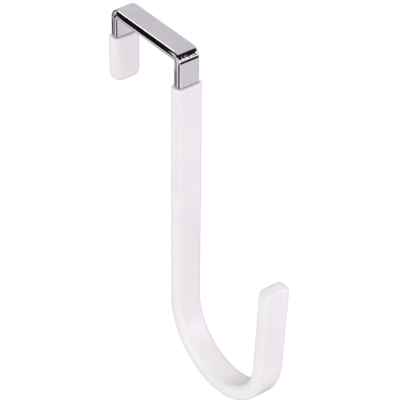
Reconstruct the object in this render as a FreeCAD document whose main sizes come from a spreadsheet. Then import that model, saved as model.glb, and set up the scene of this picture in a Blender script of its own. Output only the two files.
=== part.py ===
import FreeCAD, Part
import math
import os
import Sketcher

# An over door hook: one flat bar bent into a bridge with two legs and a J-shaped hook, and a soft
# coat on the lower end of the short leg and along the whole hook.
# Frame: +X across the bar, -Y towards the hook, +Z up. The origin is the middle of the bridge's
# underside, where the hook rests on the top of the door. Lengths in millimetres, angles in degrees.

# name, value, what it measures
SIZES = (
    ("strapWidth", 12.7, "width of the flat bar"),
    ("strapThick", 5.0, "thickness of the flat bar"),
    ("strapEdge", 1.0, "rounding along the bar's long edges"),
    ("strapCorner", 2.7, "rounding of the bar's end corners, seen flat on"),
    ("doorSlot", 48.0, "clear width between the two legs"),
    ("bendOutside", 5.3, "outside radius of the two bends at the bridge"),
    ("bendInside", 0.8, "inside radius of the two bends at the bridge"),
    ("backLeg", 36.2, "back leg, from the bridge's underside to the bar's end"),
    ("frontLeg", 149.3, "front leg, from the bridge's underside to where the hook's curve starts"),
    ("hookInside", 32.5, "inside radius of the bare bar in the hook's curve"),
    ("hookSweep", 176.7, "angle that the hook's curve turns through"),
    ("tipLength", 51.7, "straight tip beyond the hook's curve"),
    ("coatThick", 1.6, "thickness of the soft coat"),
    ("coatEdge", 2.4, "rounding along the coat's long edges"),
    ("coatCorner", 4.3, "rounding of the coat's closed end, seen flat on"),
    ("lipRound", 0.8, "rounding of the coat's upper rim"),
    ("backBare", 11.6, "bare metal on the back leg, from the bridge's underside to the coat"),
    ("hookBare", 15.0, "bare metal on the front leg, from the bridge's underside to the coat"),
)

doc = FreeCAD.newDocument("over_door_hook")


def make_sheet():
    """The driving dimensions, one to a row, with the name as the alias of its value."""
    sheet = doc.addObject("Spreadsheet::Sheet", "Sizes")
    for row, (name, value, meaning) in enumerate(SIZES, start=1):
        sheet.set("A%d" % row, name)
        sheet.set("B%d" % row, str(value))
        sheet.setAlias("B%d" % row, name)
        sheet.set("C%d" % row, meaning)
    doc.recompute()
    return sheet


sheet = make_sheet()


def size(name):
    """The present value of one driving dimension."""
    return float(sheet.get(name))


def side_sketch(body, name):
    """A sketch on the body's YZ plane: its x runs along the frame's Y and its y along Z."""
    sketch = body.newObject("Sketcher::SketchObject", name)
    plane = next(f for f in body.Origin.OriginFeatures if f.Role == "YZ_Plane")
    sketch.AttachmentSupport = [(plane, "")]
    sketch.MapMode = "FlatFace"
    return sketch


def line(sketch, start, end):
    """A straight piece of an outline, by its index in the sketch."""
    return sketch.addGeometry(Part.LineSegment(FreeCAD.Vector(*start, 0), FreeCAD.Vector(*end, 0)))


def arc(sketch, centre, radius, start, end):
    """An arc from one angle anticlockwise to another, by its index in the sketch."""
    circle = Part.Circle(FreeCAD.Vector(*centre, 0), FreeCAD.Vector(0, 0, 1), radius)
    return sketch.addGeometry(Part.ArcOfCircle(circle, math.radians(start), math.radians(end)))


def fix(sketch, kind, *where):
    """A constraint with no value."""
    sketch.addConstraint(Sketcher.Constraint(kind, *where))


def measure(sketch, name, expression, kind, *where):
    """A named dimension of the sketch, bound to the sheet. where ends with its present value."""
    number = sketch.addConstraint(Sketcher.Constraint(kind, *where))
    sketch.renameConstraint(number, name)
    sketch.setExpression("Constraints." + name, expression)


# Ends of a line or an arc, and an arc's centre, as a sketch numbers them.
START, END, CENTRE = 1, 2, 3
# The sketch's own origin.
ORIGIN = -1
# Lengths that differ by less than this, in millimetres, count as the same.
CLOSE = 0.01
# Faces that meet at less than this angle, in degrees, count as one smooth face.
SMOOTH = 20
# The lip's rounding takes up at most this share of the coat's wall.
LIP_SHARE = 0.6


def strap_outline(sketch):
    """The bar seen from the side: back leg, bridge, front leg, hook and tip, with its thickness."""
    thick = size("strapThick")
    slot = size("doorSlot") / 2
    outer = size("bendOutside")
    inner = size("bendInside")
    hook = size("hookInside")
    sweep = math.radians(size("hookSweep"))
    foot = -size("backLeg")
    low = -size("frontLeg")
    far = slot + thick
    hook_y = -far - hook
    along = (-math.sin(sweep), -math.cos(sweep))
    out = (math.cos(sweep), -math.sin(sweep))
    tip = size("tipLength")

    def tip_point(radius, length):
        return (hook_y + out[0] * radius + along[0] * length, low + out[1] * radius + along[1] * length)

    turn = -size("hookSweep")
    back_outer = line(sketch, (far, foot), (far, thick - outer))
    back_bend = arc(sketch, (far - outer, thick - outer), outer, 0, 90)
    top = line(sketch, (far - outer, thick), (outer - far, thick))
    front_bend = arc(sketch, (outer - far, thick - outer), outer, 90, 180)
    front = line(sketch, (-far, thick - outer), (-far, low))
    hook_in = arc(sketch, (hook_y, low), hook, turn, 0)
    tip_in = line(sketch, tip_point(hook, 0), tip_point(hook, tip))
    tip_end = line(sketch, tip_point(hook, tip), tip_point(hook + thick, tip))
    tip_out = line(sketch, tip_point(hook + thick, tip), tip_point(hook + thick, 0))
    hook_out = arc(sketch, (hook_y, low), hook + thick, turn, 0)
    rear = line(sketch, (-slot, low), (-slot, -inner))
    front_corner = arc(sketch, (inner - slot, -inner), inner, 90, 180)
    under = line(sketch, (inner - slot, 0), (slot - inner, 0))
    back_corner = arc(sketch, (slot - inner, -inner), inner, 0, 90)
    back_inner = line(sketch, (slot, -inner), (slot, foot))
    back_end = line(sketch, (slot, foot), (far, foot))

    for upright in (back_outer, front, rear, back_inner):
        fix(sketch, "Vertical", upright)
    for level in (top, under, back_end):
        fix(sketch, "Horizontal", level)
    smooth = (
        (back_outer, END, back_bend, START), (back_bend, END, top, START),
        (top, END, front_bend, START), (front_bend, END, front, START),
        (front, END, hook_in, END), (hook_in, START, tip_in, START),
        (tip_out, END, hook_out, START), (hook_out, END, rear, START),
        (rear, END, front_corner, END), (front_corner, START, under, START),
        (under, END, back_corner, END), (back_corner, START, back_inner, START),
    )
    for joint in smooth:
        fix(sketch, "Tangent", *joint)
    for corner in ((tip_in, END, tip_end, START), (tip_end, END, tip_out, START),
                   (back_inner, END, back_end, START), (back_end, END, back_outer, START)):
        fix(sketch, "Coincident", *corner)
    fix(sketch, "Coincident", hook_in, CENTRE, hook_out, CENTRE)
    fix(sketch, "Perpendicular", tip_in, tip_end)
    fix(sketch, "Equal", back_bend, front_bend)
    fix(sketch, "Equal", back_corner, front_corner)
    fix(sketch, "Symmetric", under, START, under, END, ORIGIN, START)

    measure(sketch, "slot", "Sizes.doorSlot", "DistanceX", rear, START, back_inner, START, 2 * slot)
    measure(sketch, "backThick", "Sizes.strapThick", "DistanceX", back_inner, END, back_outer, START, thick)
    measure(sketch, "frontThick", "Sizes.strapThick", "DistanceX", front, END, rear, START, thick)
    measure(sketch, "topThick", "Sizes.strapThick", "DistanceY", ORIGIN, START, top, START, thick)
    measure(sketch, "outsideBend", "Sizes.bendOutside", "Radius", back_bend, outer)
    measure(sketch, "insideBend", "Sizes.bendInside", "Radius", back_corner, inner)
    measure(sketch, "backFoot", "Sizes.backLeg", "DistanceY", back_end, START, ORIGIN, START, -foot)
    measure(sketch, "hookStart", "Sizes.frontLeg", "DistanceY", hook_in, CENTRE, ORIGIN, START, -low)
    measure(sketch, "hookRadius", "Sizes.hookInside", "Radius", hook_in, hook)
    measure(sketch, "tipLean", "270 deg - Sizes.hookSweep * 1 deg", "Angle", tip_in, 1.5 * math.pi - sweep)
    measure(sketch, "tipReach", "Sizes.tipLength", "Distance", tip_in, tip)


def hook_coat_outline(sketch):
    """The long coat's outside, from the side: straight leg, curve, and tip with its closed end."""
    coat = size("coatThick")
    near = -size("doorSlot") / 2 + coat
    far = -size("doorSlot") / 2 - size("strapThick") - coat
    rim = -size("hookBare")
    low = -size("frontLeg")
    hook_y = far + coat - size("hookInside")
    small = size("hookInside") - coat
    large = size("hookInside") + size("strapThick") + coat
    sweep = math.radians(size("hookSweep"))
    along = (-math.sin(sweep), -math.cos(sweep))
    out = (math.cos(sweep), -math.sin(sweep))
    tip = size("tipLength") + coat

    def tip_point(radius, length):
        return (hook_y + out[0] * radius + along[0] * length, low + out[1] * radius + along[1] * length)

    turn = -size("hookSweep")
    front = line(sketch, (far, rim), (far, low))
    hook_in = arc(sketch, (hook_y, low), small, turn, 0)
    tip_in = line(sketch, tip_point(small, 0), tip_point(small, tip))
    tip_end = line(sketch, tip_point(small, tip), tip_point(large, tip))
    tip_out = line(sketch, tip_point(large, tip), tip_point(large, 0))
    hook_out = arc(sketch, (hook_y, low), large, turn, 0)
    rear = line(sketch, (near, low), (near, rim))
    rim_line = line(sketch, (near, rim), (far, rim))

    fix(sketch, "Vertical", front)
    fix(sketch, "Vertical", rear)
    fix(sketch, "Horizontal", rim_line)
    for joint in ((front, END, hook_in, END), (hook_in, START, tip_in, START),
                  (tip_out, END, hook_out, START), (hook_out, END, rear, START)):
        fix(sketch, "Tangent", *joint)
    for corner in ((tip_in, END, tip_end, START), (tip_end, END, tip_out, START),
                   (rear, END, rim_line, START), (rim_line, END, front, START)):
        fix(sketch, "Coincident", *corner)
    fix(sketch, "Coincident", hook_in, CENTRE, hook_out, CENTRE)
    fix(sketch, "Perpendicular", tip_in, tip_end)

    measure(sketch, "rearFace", "Sizes.doorSlot / 2 - Sizes.coatThick",
            "DistanceX", rear, END, ORIGIN, START, -near)
    measure(sketch, "depth", "Sizes.strapThick + 2 * Sizes.coatThick",
            "DistanceX", rim_line, END, rim_line, START, near - far)
    measure(sketch, "rimLevel", "Sizes.hookBare", "DistanceY", rim_line, START, ORIGIN, START, -rim)
    measure(sketch, "hookStart", "Sizes.frontLeg", "DistanceY", hook_in, CENTRE, ORIGIN, START, -low)
    measure(sketch, "hookRadius", "Sizes.hookInside - Sizes.coatThick", "Radius", hook_in, small)
    measure(sketch, "tipLean", "270 deg - Sizes.hookSweep * 1 deg", "Angle", tip_in, 1.5 * math.pi - sweep)
    measure(sketch, "tipReach", "Sizes.tipLength + Sizes.coatThick", "Distance", tip_in, tip)


def back_coat_outline(sketch):
    """The outside of the short coat from the side: a plain upright block round the leg's end."""
    coat = size("coatThick")
    near = size("doorSlot") / 2 - coat
    far = size("doorSlot") / 2 + size("strapThick") + coat
    rim = -size("backBare")
    foot = -size("backLeg") - coat
    inner = line(sketch, (near, rim), (near, foot))
    closed = line(sketch, (near, foot), (far, foot))
    outer = line(sketch, (far, foot), (far, rim))
    rim_line = line(sketch, (far, rim), (near, rim))
    fix(sketch, "Vertical", inner)
    fix(sketch, "Vertical", outer)
    fix(sketch, "Horizontal", closed)
    fix(sketch, "Horizontal", rim_line)
    for corner in ((inner, END, closed, START), (closed, END, outer, START),
                   (outer, END, rim_line, START), (rim_line, END, inner, START)):
        fix(sketch, "Coincident", *corner)
    measure(sketch, "innerFace", "Sizes.doorSlot / 2 - Sizes.coatThick",
            "DistanceX", ORIGIN, START, inner, START, near)
    measure(sketch, "depth", "Sizes.strapThick + 2 * Sizes.coatThick",
            "DistanceX", closed, START, closed, END, far - near)
    measure(sketch, "rimLevel", "Sizes.backBare", "DistanceY", inner, START, ORIGIN, START, -rim)
    measure(sketch, "footLevel", "Sizes.backLeg + Sizes.coatThick",
            "DistanceY", inner, END, ORIGIN, START, -foot)


def side_pad(body, name, outline, width):
    """An outline on the middle plane, made solid to the same distance on both sides."""
    sketch = side_sketch(body, name + "_outline")
    outline(sketch)
    pad = body.newObject("PartDesign::Pad", name + "_blank")
    pad.Profile = sketch
    pad.SideType = "Symmetric"
    pad.setExpression("Length", width)
    sketch.Visibility = False
    doc.recompute()
    return pad


def meets_sharply(shape, edge):
    """True where the two faces at an edge meet at a corner rather than run smoothly on."""
    middle = edge.valueAt((edge.FirstParameter + edge.LastParameter) / 2)
    normals = []
    for face in shape.ancestorsOfType(edge, Part.Face):
        u, v = face.Surface.parameter(middle)
        normals.append(face.normalAt(u, v))
    return len(normals) == 2 and normals[0].getAngle(normals[1]) > math.radians(SMOOTH)


def sharp_edges(feature, chosen):
    """Names of the corners of a solid that pass the test chosen."""
    shape = feature.Shape
    return ["Edge%d" % n for n, edge in enumerate(shape.Edges, start=1)
            if meets_sharply(shape, edge) and chosen(edge)]


def rounding(body, name, base, edges, radius):
    """A fillet of one radius on the named edges of a feature."""
    fillet = body.newObject("PartDesign::Fillet", name)
    fillet.Base = (base, edges)
    fillet.setExpression("Radius", radius)
    doc.recompute()
    return fillet


def end_corner(edge):
    """True for the four upright corners of a bar's two ends, which cross its thickness."""
    start = edge.valueAt(edge.FirstParameter)
    end = edge.valueAt(edge.LastParameter)
    across = size("strapThick") + 2 * size("coatThick")
    straight = edge.Curve.TypeId == "Part::GeomLine"
    return straight and abs(start.x - end.x) < CLOSE and edge.Length < across + CLOSE


def at_level(edge, level):
    """True for an edge that lies flat at one height."""
    box = edge.BoundBox
    return abs(box.ZMin - level) < CLOSE and abs(box.ZMax - level) < CLOSE


def make_strap():
    """The bent bar, with rounded end corners and lightly rounded long edges."""
    body = doc.addObject("PartDesign::Body", "strap")
    body.Label = "steel_strap"
    pad = side_pad(body, "strap", strap_outline, "Sizes.strapWidth")
    corners = rounding(body, "strap_corners", pad, sharp_edges(pad, end_corner), "Sizes.strapCorner")
    rounding(body, "strap_edges", corners, sharp_edges(corners, lambda edge: True), "Sizes.strapEdge")
    return body


def make_coat(name, label, outline, rim, strap):
    """A soft coat: a rounded block with one closed end and a thin rim, less the bar inside it."""
    body = doc.addObject("PartDesign::Body", name + "_outside")
    pad = side_pad(body, name, outline, "Sizes.strapWidth + 2 * Sizes.coatThick")

    def closed_end_corner(edge):
        return end_corner(edge) and not at_level(edge, rim)

    def not_rim(edge):
        return not at_level(edge, rim)

    corners = rounding(body, name + "_corners", pad, sharp_edges(pad, closed_end_corner), "Sizes.coatCorner")
    edges = rounding(body, name + "_edges", corners, sharp_edges(corners, not_rim), "Sizes.coatEdge")
    rounding(body, name + "_rim", edges, sharp_edges(edges, lambda edge: at_level(edge, rim)),
             "min(Sizes.lipRound; Sizes.coatThick * %s)" % LIP_SHARE)
    coat = doc.addObject("Part::Cut", name)
    coat.Label = label
    coat.Base = body
    coat.Tool = strap
    doc.recompute()
    return coat


def check(part):
    """Stops the build unless the sub-part is one sound solid."""
    shape = part.Shape
    if shape.isNull() or not shape.isValid() or len(shape.Solids) != 1 or shape.Volume <= 0:
        raise RuntimeError(part.Label + " isn't one sound solid")


strap = make_strap()
back_coat = make_coat("back_coat", "back_leg_sleeve", back_coat_outline, -size("backBare"), strap)
hook_coat = make_coat("hook_coat", "hook_sleeve", hook_coat_outline, -size("hookBare"), strap)
parts = (strap, back_coat, hook_coat)
doc.recompute()

failed = [item.Label for item in doc.Objects if "Invalid" in item.State or "Error" in item.State]
if failed:
    raise RuntimeError("these objects failed: " + ", ".join(failed))
for part in parts:
    check(part)

os.makedirs("parts", exist_ok=True)
for part in parts:
    part.Shape.exportStep("parts/" + part.Label + ".step")
    print(part.Label, "volume %.1f mm3" % part.Shape.Volume, part.Shape.BoundBox)
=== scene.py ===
import math

import bmesh
import bpy
from bpy.props import FloatProperty, FloatVectorProperty, PointerProperty
from mathutils import Matrix, Vector


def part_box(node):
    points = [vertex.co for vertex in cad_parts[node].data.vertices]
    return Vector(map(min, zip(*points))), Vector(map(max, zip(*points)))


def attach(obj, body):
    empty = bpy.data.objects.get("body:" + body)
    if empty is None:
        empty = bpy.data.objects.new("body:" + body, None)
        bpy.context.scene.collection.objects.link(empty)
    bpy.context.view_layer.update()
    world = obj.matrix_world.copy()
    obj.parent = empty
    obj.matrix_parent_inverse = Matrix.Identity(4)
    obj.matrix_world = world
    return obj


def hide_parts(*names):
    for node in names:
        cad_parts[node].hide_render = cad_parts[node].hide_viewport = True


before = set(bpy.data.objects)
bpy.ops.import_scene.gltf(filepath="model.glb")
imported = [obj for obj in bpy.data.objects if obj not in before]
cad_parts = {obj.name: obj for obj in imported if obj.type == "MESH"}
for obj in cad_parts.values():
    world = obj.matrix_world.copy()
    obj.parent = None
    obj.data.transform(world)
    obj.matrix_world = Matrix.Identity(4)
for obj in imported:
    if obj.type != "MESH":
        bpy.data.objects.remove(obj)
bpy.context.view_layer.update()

bl_info = {
    "name": "Over door hook",
    "version": (1, 0, 0),
    "blender": (4, 5, 0),
    "location": "3D View > Sidebar > Hook",
    "description": "Dresses a packed over door hook: chrome bar, dipped sleeves and a plain studio",
    "category": "Object",
}

MM = 0.001
BAR = "steel_strap"
BACK_COAT = "back_leg_sleeve"
HOOK_COAT = "hook_sleeve"

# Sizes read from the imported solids, in metres.
BAR_LOW, BAR_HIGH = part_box(BAR)
BACK_LOW, BACK_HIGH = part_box(BACK_COAT)
HOOK_LOW, HOOK_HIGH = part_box(HOOK_COAT)
BAR_WIDTH = BAR_HIGH.x - BAR_LOW.x
BAR_THICK = BAR_HIGH.z
COAT_WIDTH = HOOK_HIGH.x - HOOK_LOW.x
COAT_DEPTH = BACK_HIGH.y - BACK_LOW.y
COAT_THICK = (COAT_WIDTH - BAR_WIDTH) / 2
# Middle of each leg's thickness.
BACK_LEG_Y = (BACK_LOW.y + BACK_HIGH.y) / 2
FRONT_LEG_Y = HOOK_HIGH.y - COAT_DEPTH / 2
# The bar's two bends: outside radius, and how far out and up their centres lie.
BEND_OUTSIDE = 5.3 * MM
BEND_Y = BAR_HIGH.y - BEND_OUTSIDE
BEND_Z = BAR_HIGH.z - BEND_OUTSIDE
# The hook's curve: how far it turns, its radius at the middle of the bar, and its centre.
CURVE_SWEEP = math.radians(176.7)
CURVE_RADIUS = 35.0 * MM
CURVE_Y = FRONT_LEG_Y - CURVE_RADIUS
CURVE_Z = -149.3 * MM
# The straight tip: the bar's own, and the coat over its end.
TIP_LENGTH = 51.7 * MM + COAT_THICK
# Rounding of the soft coat's closed ends, seen from the front and from the side.
END_WIDE = 4.3 * MM
END_DEEP = 2.8 * MM
# The open end, in heights below its rim: where the coat starts to swell, is half swollen and is fully
# swollen, and the rounding of its lip.
LIP_FALL = 2.6 * MM
LIP_HALF = 1.7 * MM
LIP_FULL = 1.15 * MM
LIP_ROUND = 0.95 * MM
# Inside the lip the skin runs a little way into the bar, from just under the rim to well below it.
TUCK_IN = 0.15 * MM
TUCK_TOP = 0.02 * MM
TUCK_LOW = 2.5 * MM
# Distance from one slow wave of the dip to the next.
WAVE_LENGTH = 14.0 * MM
# Ripples to the metre in the bar's bends, and between which heights over a bend's centre they lie.
BEND_RIPPLES = 800.0
RIPPLE_LOW = 1.8 * MM
RIPPLE_HIGH = 4.0 * MM
RIPPLE_FADE = 0.8 * MM
# How finely the shells are divided.
CORNER_STEPS = 8
FLAT_CUTS = 5
END_STEPS = 8
LIP_STEPS = 6
CURVE_STEPS = 60
RING_GAP = 2.5 * MM
# Points nearer than MERGE become one, SAME_LEVEL is how flat a cross-section is, and edges that turn by
# less than SMOOTH_UNDER are shaded smooth.
MERGE = 0.002 * MM
SAME_LEVEL = 0.01 * MM
SMOOTH_UNDER = math.radians(50)
# Most of a noise lies between these values.
NOISE_LOW = 0.35
NOISE_HIGH = 0.65
# How far a finish's roughness varies with its cloudy patches, as a share of it.
ROUGH_SPREAD = 0.15


class SleeveSettings(bpy.types.PropertyGroup):
    """Shape and finish of the dipped vinyl."""
    corner: FloatProperty(
        name="Corner radius", description="Rounding of the sleeve's long edges",
        default=3.0 * MM, min=0.5 * MM, max=4.0 * MM, unit="LENGTH", precision=4)
    lip: FloatProperty(
        name="Lip bulge", description="How much thicker the coat is just under its upper rim",
        default=0.12 * MM, min=0.0, max=0.5 * MM, unit="LENGTH", precision=5)
    waves: FloatProperty(
        name="Waviness", description="Height of the slow waves that dipping leaves in the coat",
        default=0.10 * MM, min=0.0, max=0.5 * MM, unit="LENGTH", precision=5)
    colour: FloatVectorProperty(
        name="Colour", description="Main colour of the vinyl",
        default=(0.875, 0.85, 0.88), subtype="COLOR", min=0.0, max=1.0)
    shade: FloatVectorProperty(
        name="Second colour", description="Colour of the faint cloudy patches in the vinyl",
        default=(0.845, 0.815, 0.85), subtype="COLOR", min=0.0, max=1.0)
    roughness: FloatProperty(
        name="Roughness", description="0 is mirror-like and 1 is dull",
        default=0.34, min=0.0, max=1.0, subtype="FACTOR")


class ChromeSettings(bpy.types.PropertyGroup):
    """Finish of the plated bar."""
    colour: FloatVectorProperty(
        name="Colour", description="Colour of the plating where it mirrors white",
        default=(0.567, 0.53, 0.584), subtype="COLOR", min=0.0, max=1.0)
    haze: FloatVectorProperty(
        name="Haze colour", description="Colour of the faint cloudy patches in the plating",
        default=(0.538, 0.51, 0.556), subtype="COLOR", min=0.0, max=1.0)
    roughness: FloatProperty(
        name="Roughness", description="0 is mirror-like and 1 is dull",
        default=0.05, min=0.0, max=1.0, subtype="FACTOR")
    crown: FloatProperty(
        name="Side crown", description="Radius of the barrel shape that rolling leaves on the bar's sides",
        default=7.5 * MM, min=2.0 * MM, max=100.0 * MM, unit="LENGTH", precision=4)
    ripple: FloatProperty(
        name="Bend ripple", description="Height of the fine ripple that bending leaves in the bends",
        default=0.21 * MM, min=0.0, max=0.5 * MM, unit="LENGTH", precision=6)


class StageSettings(bpy.types.PropertyGroup):
    """Floor, sky and lamps."""
    floor_drop: FloatProperty(
        name="Floor drop", description="Height of the door top's level above the floor",
        default=0.45, min=0.2, max=2.0, unit="LENGTH")
    white: FloatProperty(
        name="Background", description="Brightness of the floor and sky as the camera sees them",
        default=1.0, min=0.0, max=1.0)
    sky: FloatProperty(
        name="Sky light", description="Even light from all round",
        default=0.65, min=0.0, max=2.0)
    key: FloatProperty(
        name="Key lamp", description="Power of the large soft lamp in front, at the right",
        default=7.3, min=0.0, max=100.0, unit="POWER")
    side: FloatProperty(
        name="Side lamp", description="Power of the soft lamp at the left",
        default=8.7, min=0.0, max=100.0, unit="POWER")
    low: FloatProperty(
        name="Low lamp", description="Power of the weak lamp in front, at the height of the hook",
        default=2.6, min=0.0, max=100.0, unit="POWER")
    top: FloatProperty(
        name="Top lamp", description="Power of the faint lamp overhead",
        default=0.5, min=0.0, max=100.0, unit="POWER")


def deselect_all():
    """Leaves edit mode and nothing selected."""
    if bpy.context.object and bpy.context.object.mode != "OBJECT":
        bpy.ops.object.mode_set(mode="OBJECT")
    bpy.ops.object.select_all(action="DESELECT")


def choose(piece, kind, test):
    """In edit mode, selects the faces or edges that pass a test, and nothing else."""
    bpy.ops.mesh.select_mode(type="FACE" if kind == "faces" else "EDGE")
    bpy.ops.mesh.select_all(action="DESELECT")
    mesh = bmesh.from_edit_mesh(piece.data)
    for item in getattr(mesh, kind):
        item.select_set(test(item))
    bmesh.update_edit_mesh(piece.data)


def is_section(face):
    """Whether a face is a whole cross-section: the skin's own faces have four corners or fewer."""
    return len(face.verts) > 4


def choose_section(piece, height):
    """Selects the one level cross-section at a height."""
    choose(piece, "faces", lambda face: is_section(face)
           and all(abs(corner.co.z - height) < SAME_LEVEL for corner in face.verts))


def extrude(move, size=(1.0, 1.0, 1.0), centre=None):
    """Extrudes what is selected by a move, then scales the new end about a point."""
    bpy.ops.mesh.extrude_region_move(TRANSFORM_OT_translate={"value": move})
    if centre is not None:
        bpy.ops.transform.resize(value=size, center_override=centre)


def add_section(name, corner, centre):
    """Starts a piece with the sleeve's cross-section, a flat rounded rectangle, in edit mode."""
    deselect_all()
    bpy.ops.mesh.primitive_plane_add(size=1.0, location=(0.0, 0.0, 0.0))
    piece = bpy.context.object
    piece.name = piece.data.name = name
    bpy.ops.object.mode_set(mode="EDIT")
    bpy.ops.transform.resize(value=(COAT_WIDTH, COAT_DEPTH, 1.0))
    bpy.ops.mesh.bevel(offset=corner, segments=CORNER_STEPS, affect="VERTICES")
    choose(piece, "edges", lambda edge: edge.calc_length() > COAT_THICK)
    bpy.ops.mesh.subdivide(number_cuts=FLAT_CUTS)
    choose(piece, "faces", is_section)
    bpy.ops.transform.translate(value=centre)
    return piece


def round_end(centre, upwards):
    """Closes the selected section with a rounded end, END_WIDE beyond it."""
    way = 1.0 if upwards else -1.0
    width, depth, level = COAT_WIDTH, COAT_DEPTH, 0.0
    for step in range(1, END_STEPS + 1):
        turn = math.pi / 2 * step / END_STEPS
        new_level = END_WIDE * math.sin(turn)
        left = END_WIDE - new_level
        new_width = COAT_WIDTH - 2 * END_WIDE * (1 - math.cos(turn))
        inside = max(0.0, END_DEEP - left)
        new_depth = COAT_DEPTH - 2 * (END_DEEP - math.sqrt(END_DEEP ** 2 - inside ** 2))
        extrude((0.0, 0.0, way * (new_level - level)),
                (new_width / width, new_depth / depth, 1.0),
                (centre[0], centre[1], centre[2] + way * new_level))
        width, depth, level = new_width, new_depth, new_level


def long_run(length, upwards):
    """Extrudes the selected section along Z in even rings."""
    count = max(1, round(length / RING_GAP))
    step = length / count if upwards else -length / count
    for _ in range(count):
        extrude((0.0, 0.0, step))


def open_rim(centre, lip):
    """Ends the selected section in a soft lip that turns in to the bar. centre is at the rim."""
    x, y, top = centre
    width, depth, level = COAT_WIDTH, COAT_DEPTH, top - LIP_FALL
    # Thickness of the coat, and how far below the rim.
    profile = [(COAT_THICK + lip / 2, LIP_HALF), (COAT_THICK + lip, LIP_FULL)]
    for step in range(1, LIP_STEPS + 1):
        turn = math.pi / 2 * step / LIP_STEPS
        profile.append((COAT_THICK + lip - LIP_ROUND * (1 - math.cos(turn)),
                        LIP_ROUND * (1 - math.sin(turn))))
    profile += [(-TUCK_IN, TUCK_TOP), (-TUCK_IN, TUCK_LOW)]
    for thick, below in profile:
        new_width, new_depth = BAR_WIDTH + 2 * thick, BAR_THICK + 2 * thick
        new_level = top - below
        extrude((0.0, 0.0, new_level - level),
                (new_width / width, new_depth / depth, 1.0), (x, y, new_level))
        width, depth, level = new_width, new_depth, new_level


def finish_coat(piece, node, waves):
    """Closes and smooths the skin, adds the slow waves of the dip and puts it in the node's place."""
    bpy.ops.mesh.select_all(action="SELECT")
    bpy.ops.mesh.remove_doubles(threshold=MERGE)
    bpy.ops.mesh.normals_make_consistent(inside=False)
    bpy.ops.object.mode_set(mode="OBJECT")
    wave = bpy.data.textures.new(piece.name + "_waves", "CLOUDS")
    wave.noise_scale = WAVE_LENGTH
    wave.noise_depth = 1
    bpy.ops.object.modifier_add(type="DISPLACE")
    displace = piece.modifiers[-1]
    displace.texture = wave
    displace.texture_coords = "LOCAL"
    displace.strength = waves
    displace.mid_level = 0.5
    bpy.ops.object.modifier_apply(modifier=displace.name)
    bpy.ops.object.shade_smooth_by_angle(angle=SMOOTH_UNDER)
    piece.data.materials.clear()
    piece.data.materials.append(bpy.data.materials["dipped_vinyl"])
    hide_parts(node)
    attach(piece, "root")


def new_group(name, inputs, outputs):
    """An empty shader group with its sockets, and its input and output nodes."""
    group = bpy.data.node_groups.new(name, "ShaderNodeTree")
    for socket, kind, value in inputs:
        made = group.interface.new_socket(name=socket, in_out="INPUT", socket_type=kind)
        if value is not None:
            made.default_value = value
    for socket, kind in outputs:
        group.interface.new_socket(name=socket, in_out="OUTPUT", socket_type=kind)
    return group, group.nodes.new("NodeGroupInput"), group.nodes.new("NodeGroupOutput")


def add(tree, kind, **values):
    """A node, with some of its settings and input values. An underscore stands for a space."""
    node = tree.nodes.new(kind)
    for name, value in values.items():
        if hasattr(node, name):
            setattr(node, name, value)
        else:
            node.inputs[name.replace("_", " ")].default_value = value
    return node


def maths(tree, operation, first, second=None):
    """A math node on one or two values or sockets, and its result."""
    node = add(tree, "ShaderNodeMath", operation=operation)
    for socket, value in zip(node.inputs, (first, second)):
        if isinstance(value, bpy.types.NodeSocket):
            tree.links.new(value, socket)
        elif value is not None:
            socket.default_value = value
    return node.outputs[0]


def fade(tree, value, start, end):
    """A soft step that is 0 where a value reaches start and 1 where it reaches end."""
    step = add(tree, "ShaderNodeMapRange", interpolation_type="SMOOTHSTEP", From_Min=start, From_Max=end)
    tree.links.new(value, step.inputs["Value"])
    return step.outputs["Result"]


def make_cloud_group():
    """Slow and fine noise over the surface, as a mask for colour and a height for the bump."""
    group, given, out = new_group(
        "surface_clouds",
        [("Vector", "NodeSocketVector", None), ("Slow scale", "NodeSocketFloat", 60.0),
         ("Fine scale", "NodeSocketFloat", 900.0), ("Fine share", "NodeSocketFloat", 0.2)],
        [("Mask", "NodeSocketFloat"), ("Height", "NodeSocketFloat")])
    slow = add(group, "ShaderNodeTexNoise", Detail=2.0, Roughness=0.5)
    fine = add(group, "ShaderNodeTexNoise", Detail=3.0, Roughness=0.6)
    both = add(group, "ShaderNodeMix", data_type="FLOAT")
    spread = add(group, "ShaderNodeMapRange", From_Min=NOISE_LOW, From_Max=NOISE_HIGH)
    link = group.links.new
    link(given.outputs["Vector"], slow.inputs["Vector"])
    link(given.outputs["Vector"], fine.inputs["Vector"])
    link(given.outputs["Slow scale"], slow.inputs["Scale"])
    link(given.outputs["Fine scale"], fine.inputs["Scale"])
    link(given.outputs["Fine share"], both.inputs["Factor"])
    link(slow.outputs["Fac"], both.inputs["A"])
    link(fine.outputs["Fac"], both.inputs["B"])
    link(slow.outputs["Fac"], spread.inputs["Value"])
    link(spread.outputs["Result"], out.inputs["Mask"])
    link(both.outputs["Result"], out.inputs["Height"])
    return group


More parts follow.
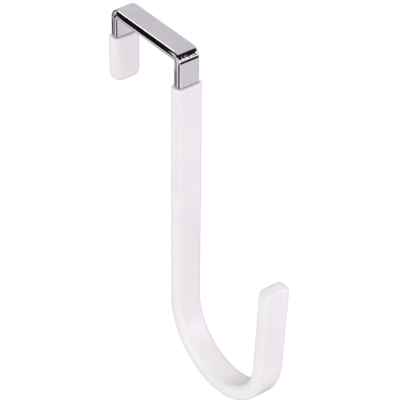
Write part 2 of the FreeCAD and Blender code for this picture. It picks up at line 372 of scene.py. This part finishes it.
def make_bar_relief_group():
    """Relief of the bar's own form: the crown of its sides, and the ripple in its two bends."""
    group, given, out = new_group(
        "bar_relief",
        [("Vector", "NodeSocketVector", None), ("Crown radius", "NodeSocketFloat", 0.01),
         ("Ripple height", "NodeSocketFloat", 0.0)],
        [("Height", "NodeSocketFloat")])
    link = group.links.new
    place = add(group, "ShaderNodeSeparateXYZ")
    link(given.outputs["Vector"], place.inputs[0])
    # How far a point lies past the nearer bend's centre: outward, upward, and straight from it.
    off_centre = maths(group, "ABSOLUTE", place.outputs["Y"])
    outward = maths(group, "MAXIMUM", maths(group, "SUBTRACT", off_centre, BEND_Y), 0.0)
    upward = maths(group, "MAXIMUM", maths(group, "SUBTRACT", place.outputs["Z"], BEND_Z), 0.0)
    outward_square = maths(group, "POWER", outward, 2.0)
    upward_square = maths(group, "POWER", upward, 2.0)
    reach = maths(group, "SQRT", maths(group, "ADD", outward_square, upward_square))
    # The crown falls away with the square of the distance from the middle of the bar's thickness.
    off_middle = maths(group, "SUBTRACT", reach, BEND_OUTSIDE - BAR_THICK / 2)
    crown_width = maths(group, "MULTIPLY", given.outputs["Crown radius"], 2.0)
    crown = maths(group, "DIVIDE", maths(group, "POWER", off_middle, 2.0), crown_width)
    # The ripple lies only in the middle of a bend, between two heights.
    noise = add(group, "ShaderNodeTexNoise", Scale=BEND_RIPPLES, Detail=1.0)
    link(given.outputs["Vector"], noise.inputs["Vector"])
    in_bend = maths(group, "MINIMUM", outward, upward)
    above = fade(group, in_bend, RIPPLE_LOW, RIPPLE_LOW + RIPPLE_FADE)
    below = fade(group, upward, RIPPLE_HIGH, RIPPLE_HIGH - RIPPLE_FADE)
    height = maths(group, "MULTIPLY", noise.outputs["Fac"], given.outputs["Ripple height"])
    ripple = maths(group, "MULTIPLY", height, maths(group, "MULTIPLY", above, below))
    link(maths(group, "SUBTRACT", ripple, crown), out.inputs["Height"])
    return group


def surface_material(name, colour, shade, roughness, clouds, values, bump, distance):
    """A Principled surface whose colour, roughness and bump follow the cloud group."""
    material = bpy.data.materials.new(name)
    material.use_nodes = True
    tree = material.node_tree
    shader = tree.nodes["Principled BSDF"]
    place = add(tree, "ShaderNodeTexCoord")
    cloud = add(tree, "ShaderNodeGroup")
    cloud.node_tree = clouds
    for socket, value in values.items():
        cloud.inputs[socket].default_value = value
    tint = add(tree, "ShaderNodeMix", data_type="RGBA")
    tint.inputs["A"].default_value = (*colour, 1.0)
    tint.inputs["B"].default_value = (*shade, 1.0)
    rough = add(tree, "ShaderNodeMapRange",
                To_Min=roughness * (1 - ROUGH_SPREAD), To_Max=roughness * (1 + ROUGH_SPREAD))
    relief = add(tree, "ShaderNodeBump", Strength=bump, Distance=distance)
    link = tree.links.new
    link(place.outputs["Object"], cloud.inputs["Vector"])
    link(cloud.outputs["Mask"], tint.inputs["Factor"])
    link(cloud.outputs["Mask"], rough.inputs["Value"])
    link(cloud.outputs["Height"], relief.inputs["Height"])
    link(tint.outputs["Result"], shader.inputs["Base Color"])
    link(rough.outputs["Result"], shader.inputs["Roughness"])
    link(relief.outputs["Normal"], shader.inputs["Normal"])
    return material, shader


def make_vinyl(settings, clouds):
    """Soft dipped vinyl: nearly white, a little glossy, with slow waves."""
    _, shader = surface_material(
        "dipped_vinyl", settings.colour, settings.shade, settings.roughness, clouds,
        {"Slow scale": 45.0, "Fine scale": 700.0, "Fine share": 0.06},
        bump=0.35, distance=0.6 * MM)
    shader.inputs["IOR"].default_value = 1.5


def make_chrome(settings, clouds):
    """Bright plating over a polished bar, with crowned sides and a fine ripple in its bends."""
    material, shader = surface_material(
        "chrome_plating", settings.colour, settings.haze, settings.roughness, clouds,
        {"Slow scale": 110.0, "Fine scale": 1600.0, "Fine share": 0.12},
        bump=0.10, distance=0.12 * MM)
    shader.inputs["Metallic"].default_value = 1.0
    tree = material.node_tree
    form = add(tree, "ShaderNodeGroup")
    form.node_tree = make_bar_relief_group()
    form.inputs["Crown radius"].default_value = settings.crown
    form.inputs["Ripple height"].default_value = settings.ripple
    # The relief is in metres, so the bump's distance is one metre.
    relief = add(tree, "ShaderNodeBump", Strength=1.0, Distance=1.0)
    tree.links.new(tree.nodes["Texture Coordinate"].outputs["Object"], form.inputs["Vector"])
    tree.links.new(form.outputs["Height"], relief.inputs["Height"])
    tree.links.new(relief.outputs["Normal"], tree.nodes["Bump"].inputs["Normal"])


# Where the photograph was taken from: angles in degrees, distance and target in metres, and the lens
# and sensor in millimetres.
VIEW_TURN = -37.817
VIEW_RISE = 36.458
VIEW_ROLL = 0.537
VIEW_DISTANCE = 1.09168
VIEW_TARGET = Vector((3.13, -34.22, -83.55)) * MM
VIEW_LENS = 190.78
SENSOR_WIDTH = 36.0
NEAREST_SEEN = 0.01
# The floor's width in metres, its grey as light falls on it, and its grey and glow as it is seen. The glow
# brings the floor up to the background's white, and leaves the hook's shadow on it.
FLOOR_WIDTH = 40.0
FLOOR_LIT = 0.78
FLOOR_SEEN = 0.35
FLOOR_GLOW = 0.73
# Where the lamps are aimed.
HOOK_MIDDLE = (0.0, -0.03, -0.08)
# Lamps: the setting that holds the power, place, width, height and colour.
LAMPS = (
    ("key", (1.0, -1.2, 0.6), 1.0, 1.0, (1.0, 0.81, 0.96)),
    ("side", (-1.3, -0.15, 0.6), 1.0, 1.2, (0.91, 1.0, 0.84)),
    ("low", (-0.2, -1.5, -0.1), 1.2, 0.6, (0.95, 0.85, 1.0)),
    ("top", (-0.1, -0.3, 1.5), 1.0, 1.0, (0.97, 0.95, 1.0)),
)
# Cards that only the chrome mirrors: name, centre, turn in degrees, width, height and brightness.
CARDS = (
    # In the outside of the front bend.
    ("front_flag", (0.035, -0.640, 0.630), (44.5, 0.0, 0.0), 1.43, 1.08, 0.02),
    ("front_bright", (0.46, -0.785, 0.029), (88.0, 0.0, 0.0), 0.50, 0.21, 1.75),
    ("front_dark", (0.225, -0.599, -0.238), (112.75, 0.0, 0.0), 0.69, 0.303, 0.02),
    ("front_line", (0.36, -0.504, -0.362), (127.35, 0.0, 0.0), 0.40, 0.014, 1.45),
    # In the bridge's upper edge, and then in its side from the top down.
    ("edge_bright", (0.20, 0.64, 0.67), (0.0, 17.0, 0.0), 0.36, 0.30, 2.6),
    ("bridge_flag_high", (-0.256, 0.50, 0.437), (0.0, -30.0, 0.0), 0.577, 0.26, 0.01),
    ("bridge_flag", (-0.235, 0.22, 0.0225), (0.0, -85.0, 0.0), 0.215, 0.13, 0.01),
    ("bridge_flag_low", (-0.180, 0.2155, -0.136), (0.0, -121.0, 0.0), 0.146, 0.069, 0.01),
    # In the sides of the front bend and the back bend.
    ("bend_flag", (-0.389, -0.015, 0.366), (0.0, -30.0, 0.0), 0.80, 0.72, 0.02),
    ("back_bend_flag", (0.21, 0.92, 0.51), (90.0, 0.0, 0.0), 0.66, 0.26, 0.02),
    ("back_bend_grey", (-0.02, 0.92, 0.0), (90.0, 0.0, 0.0), 0.80, 0.76, 0.15),
    ("back_bend_low", (-0.18, 0.46, -0.235), (90.0, 0.0, 0.0), 0.14, 0.09, 0.04),
    # In the sides of the legs.
    ("leg_flag", (-0.100, -0.090, -0.1045), (0.0, 90.0, 0.0), 0.091, 0.242, 0.10),
    ("leg_bright", (-0.366, 0.256, -0.31), (0.0, 0.0, 52.0), 0.08, 0.08, 1.3),
    ("leg_grey_left", (-0.285, 0.335, -0.31), (0.0, 0.0, 39.0), 0.104, 0.032, 0.50),
    ("leg_grey", (-0.170, 0.401, -0.31), (0.0, 0.0, 21.0), 0.176, 0.032, 0.45),
    ("back_leg_bright", (-0.352, 0.361, -0.31), (0.0, 0.0, 46.0), 0.235, 0.030, 1.4),
    ("back_leg_dark", (-0.178, 0.4755, -0.31), (0.0, 0.0, 21.0), 0.135, 0.05, 0.06),
    # In the bridge's lower edge and the bar's rear edges, and then in the legs' rounded front edges.
    ("rear_flag", (0.123, 0.129, -0.229), (53.5, 0.0, -37.8), 0.46, 0.50, 0.08),
    ("corner_bright", (0.075, -0.439, -0.28), (0.0, 0.0, 11.0), 0.28, 0.08, 1.35),
)


def grey(level):
    """A grey as red, green, blue and alpha."""
    return (level, level, level, 1.0)


def camera_matrix():
    """The camera's place and turn."""
    turn, rise = math.radians(VIEW_TURN), math.radians(VIEW_RISE)
    back = Vector((math.sin(turn) * math.cos(rise), -math.cos(turn) * math.cos(rise), math.sin(rise)))
    right = Vector((math.cos(turn), math.sin(turn), 0.0))
    up = back.cross(right)
    axes = Matrix((right, up, back)).transposed() @ Matrix.Rotation(math.radians(VIEW_ROLL), 3, "Z")
    return Matrix.Translation(VIEW_TARGET + back * VIEW_DISTANCE) @ axes.to_4x4()


def make_camera():
    """The camera at the photograph's angle."""
    data = bpy.data.cameras.new("photo_camera")
    data.lens = VIEW_LENS
    data.sensor_width = SENSOR_WIDTH
    data.clip_start = NEAREST_SEEN
    camera = bpy.data.objects.new("photo_camera", data)
    bpy.context.scene.collection.objects.link(camera)
    camera.matrix_world = camera_matrix()
    bpy.context.scene.camera = camera


def seen_rays(tree):
    """A factor that is 1 for camera, mirror and see-through rays."""
    path = add(tree, "ShaderNodeLightPath")
    glossy = maths(tree, "MAXIMUM", path.outputs["Is Camera Ray"], path.outputs["Is Glossy Ray"])
    return maths(tree, "MAXIMUM", glossy, path.outputs["Is Transmission Ray"])


def mix_by_ray(tree, lit, seen, output):
    """Sends one shader to rays that carry light and another to rays that are seen."""
    mix = add(tree, "ShaderNodeMixShader")
    out = add(tree, output)
    tree.links.new(seen_rays(tree), mix.inputs["Fac"])
    tree.links.new(lit.outputs[0], mix.inputs[1])
    tree.links.new(seen.outputs[0], mix.inputs[2])
    tree.links.new(mix.outputs[0], out.inputs["Surface"])


def make_world(settings):
    """An even pale sky, white where it is seen or mirrored."""
    world = bpy.data.worlds.new("studio_sky")
    bpy.context.scene.world = world
    world.use_nodes = True
    tree = world.node_tree
    tree.nodes.clear()
    lit = add(tree, "ShaderNodeBackground", Color=grey(1.0), Strength=settings.sky)
    seen = add(tree, "ShaderNodeBackground", Color=grey(1.0), Strength=settings.white)
    mix_by_ray(tree, lit, seen, "ShaderNodeOutputWorld")


def make_floor(settings):
    """A wide pale floor that stays white to the camera except in the hook's shadow."""
    deselect_all()
    bpy.ops.mesh.primitive_plane_add(size=FLOOR_WIDTH, location=(0.0, 0.0, -settings.floor_drop))
    floor = bpy.context.object
    floor.name = "studio_floor"
    material = bpy.data.materials.new("pale_floor")
    material.use_nodes = True
    tree = material.node_tree
    tree.nodes.clear()
    plain = add(tree, "ShaderNodeBsdfDiffuse", Color=grey(FLOOR_LIT))
    shadow = add(tree, "ShaderNodeBsdfDiffuse", Color=grey(FLOOR_SEEN))
    glow = add(tree, "ShaderNodeEmission", Color=grey(1.0), Strength=settings.white * FLOOR_GLOW)
    seen = add(tree, "ShaderNodeAddShader")
    tree.links.new(shadow.outputs[0], seen.inputs[0])
    tree.links.new(glow.outputs[0], seen.inputs[1])
    mix_by_ray(tree, plain, seen, "ShaderNodeOutputMaterial")
    floor.data.materials.append(material)


def facing(place, target):
    """A turn that makes something at a place look at a target."""
    return (Vector(target) - Vector(place)).to_track_quat("-Z", "Y").to_euler()


def add_lamp(name, place, width, height, power, colour):
    """A large soft lamp aimed at the hook."""
    data = bpy.data.lights.new(name, "AREA")
    data.shape = "RECTANGLE"
    data.size, data.size_y = width, height
    data.energy = power
    data.color = colour
    lamp = bpy.data.objects.new(name, data)
    bpy.context.scene.collection.objects.link(lamp)
    lamp.location = place
    lamp.rotation_euler = facing(place, HOOK_MIDDLE)
    lamp.visible_camera = False


def add_card(name, centre, turn, width, height, brightness):
    """A flat card that only mirrors see, from nearly black to brighter than the sky."""
    deselect_all()
    turn = [math.radians(angle) for angle in turn]
    bpy.ops.mesh.primitive_plane_add(size=1.0, location=centre, rotation=turn)
    card = bpy.context.object
    card.name = name
    card.scale = (width, height, 1.0)
    material = bpy.data.materials.new(name)
    material.use_nodes = True
    tree = material.node_tree
    tree.nodes.clear()
    glow = add(tree, "ShaderNodeEmission", Color=grey(1.0), Strength=brightness)
    out = add(tree, "ShaderNodeOutputMaterial")
    tree.links.new(glow.outputs[0], out.inputs["Surface"])
    card.data.materials.append(material)
    card.visible_camera = card.visible_diffuse = card.visible_shadow = False
    card.visible_transmission = card.visible_volume_scatter = False


class HOOK_OT_materials(bpy.types.Operator):
    """Make the chrome and vinyl materials"""
    bl_idname = "hook.materials"
    bl_label = "Materials"

    def execute(self, context):
        clouds = make_cloud_group()
        make_vinyl(context.scene.hook_sleeve, clouds)
        make_chrome(context.scene.hook_chrome, clouds)
        return {"FINISHED"}


class HOOK_OT_bar(bpy.types.Operator):
    """Plate the bent bar with chrome"""
    bl_idname = "hook.bar"
    bl_label = "Chrome bar"

    def execute(self, context):
        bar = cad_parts[BAR]
        bar.data.materials.clear()
        bar.data.materials.append(bpy.data.materials["chrome_plating"])
        return {"FINISHED"}


class HOOK_OT_back_sleeve(bpy.types.Operator):
    """Model the short sleeve on the back leg"""
    bl_idname = "hook.back_sleeve"
    bl_label = "Back sleeve"

    def execute(self, context):
        settings = context.scene.hook_sleeve
        start = BACK_LOW.z + END_WIDE
        piece = add_section("back_vinyl_sleeve", settings.corner, (0.0, BACK_LEG_Y, start))
        round_end((0.0, BACK_LEG_Y, start), upwards=False)
        choose_section(piece, start)
        long_run(BACK_HIGH.z - LIP_FALL - start, upwards=True)
        open_rim((0.0, BACK_LEG_Y, BACK_HIGH.z), settings.lip)
        finish_coat(piece, BACK_COAT, settings.waves)
        return {"FINISHED"}


class HOOK_OT_hook_sleeve(bpy.types.Operator):
    """Model the long sleeve that follows the hook"""
    bl_idname = "hook.hook_sleeve"
    bl_label = "Hook sleeve"

    def execute(self, context):
        settings = context.scene.hook_sleeve
        # The tip is made upright, then leans as the curve leaves it.
        tip_y = CURVE_Y - CURVE_RADIUS
        start = CURVE_Z + TIP_LENGTH - END_WIDE
        piece = add_section("hook_vinyl_sleeve", settings.corner, (0.0, tip_y, start))
        round_end((0.0, tip_y, start), upwards=True)
        choose_section(piece, start)
        long_run(start - CURVE_Z, upwards=False)
        curve = Vector((0.0, CURVE_Y, CURVE_Z))
        bpy.ops.mesh.select_all(action="SELECT")
        bpy.ops.transform.rotate(value=CURVE_SWEEP - math.pi, orient_axis="X", center_override=curve)
        choose(piece, "faces", lambda face: is_section(face) and face.normal.z < 0.0)
        bpy.ops.mesh.spin(steps=CURVE_STEPS, angle=CURVE_SWEEP, center=curve, axis=(-1.0, 0.0, 0.0))
        long_run(HOOK_HIGH.z - LIP_FALL - CURVE_Z, upwards=True)
        open_rim((0.0, FRONT_LEG_Y, HOOK_HIGH.z), settings.lip)
        finish_coat(piece, HOOK_COAT, settings.waves)
        return {"FINISHED"}


class HOOK_OT_stage(bpy.types.Operator):
    """Set the floor, sky, lamps, mirrored cards and camera"""
    bl_idname = "hook.stage"
    bl_label = "Stage"

    def execute(self, context):
        settings = context.scene.hook_stage
        context.scene.view_settings.view_transform = "Standard"
        make_world(settings)
        make_floor(settings)
        for lamp, place, width, height, colour in LAMPS:
            add_lamp(lamp + "_lamp", place, width, height, getattr(settings, lamp), colour)
        for card in CARDS:
            add_card(*card)
        make_camera()
        return {"FINISHED"}


class HOOK_PT_panel(bpy.types.Panel):
    """The hook's steps and settings"""
    bl_idname = "HOOK_PT_panel"
    bl_label = "Over door hook"
    bl_space_type = "VIEW_3D"
    bl_region_type = "UI"
    bl_category = "Hook"

    def draw(self, context):
        for step in STEPS:
            self.layout.operator(step.bl_idname)
        for name, group in SETTINGS:
            box = self.layout.box()
            for prop in group.__annotations__:
                box.prop(getattr(context.scene, name), prop)


SETTINGS = (("hook_sleeve", SleeveSettings), ("hook_chrome", ChromeSettings), ("hook_stage", StageSettings))
STEPS = (HOOK_OT_materials, HOOK_OT_bar, HOOK_OT_back_sleeve, HOOK_OT_hook_sleeve, HOOK_OT_stage)


def register():
    """Adds the settings, the operators and the panel to Blender."""
    for name, group in SETTINGS:
        bpy.utils.register_class(group)
        setattr(bpy.types.Scene, name, PointerProperty(type=group))
    for part in (*STEPS, HOOK_PT_panel):
        bpy.utils.register_class(part)


def unregister():
    """Takes the panel, the operators and the settings out of Blender again."""
    for part in reversed((*STEPS, HOOK_PT_panel)):
        bpy.utils.unregister_class(part)
    for name, group in reversed(SETTINGS):
        delattr(bpy.types.Scene, name)
        bpy.utils.unregister_class(group)


def main():
    """Runs the steps in order."""
    register()
    bpy.ops.hook.materials()
    bpy.ops.hook.bar()
    bpy.ops.hook.back_sleeve()
    bpy.ops.hook.hook_sleeve()
    bpy.ops.hook.stage()


if __name__ == "__main__":
    main()
